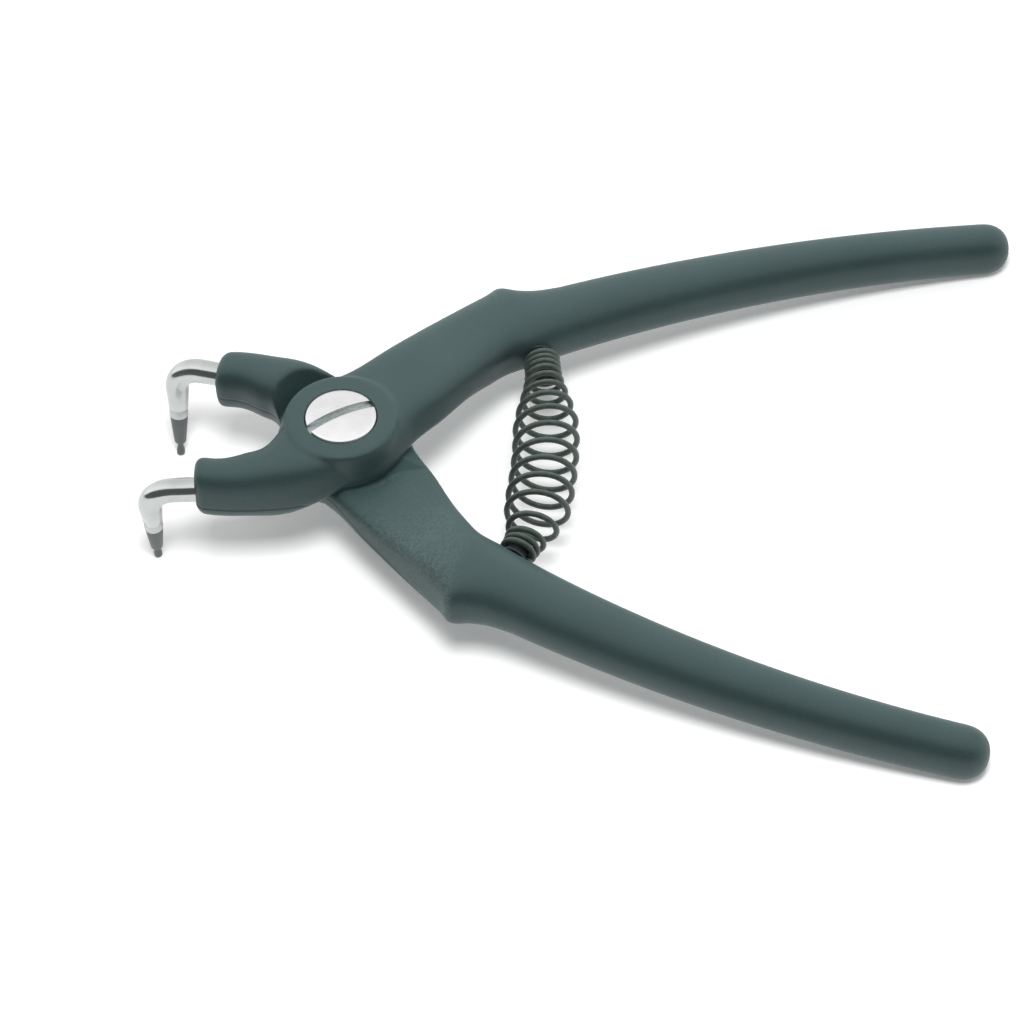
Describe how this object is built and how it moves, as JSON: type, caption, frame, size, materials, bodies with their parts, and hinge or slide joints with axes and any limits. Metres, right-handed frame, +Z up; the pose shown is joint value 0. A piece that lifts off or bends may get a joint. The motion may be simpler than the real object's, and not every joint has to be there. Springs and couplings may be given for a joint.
{
  "type": "internal circlip pliers",
  "caption": "Circlip pliers for internal rings: lapped levers on a slotted pivot screw, tips bent square to the levers, barrel spring that opens the curved handles",
  "frame": {"origin": "on the pivot axis, in the plane of the joint's flat underside", "axes": "+X runs from the pivot along the middle line between the handles, +Z runs up along the pivot axis out of the screw head, and the tips point down along -Z"},
  "size_m": [0.132, 0.11, 0.0245],
  "materials": {
    "lever": "satin grey coat on forged steel",
    "grip": "satin grey moulded sleeve",
    "tip": "bright rod with a dark ground point",
    "peg": "satin grey coat",
    "screw": "bright turned steel",
    "spring": "oiled dark spring wire"
  },
  "bodies": {
    "lower_half": {"lower_lever": "lever", "lower_grip": "grip", "lower_tip": "tip", "lower_spring_peg": "peg", "pivot_screw": "screw", "opening_spring": "spring"},
    "upper_half": {"upper_lever": "lever", "upper_grip": "grip", "upper_tip": "tip", "upper_spring_peg": "peg"}
  },
  "joints": [
    {"name": "pivot", "type": "hinge", "parent": "lower_half", "child": "upper_half", "pos_m": [0, 0, 0.0056], "axis": [0, 0, 1], "range_deg": [-33, 0], "stiffness_Nm_per_rad": 2, "springref_deg": 14.32, "deforming": ["opening_spring"]}
  ]
}
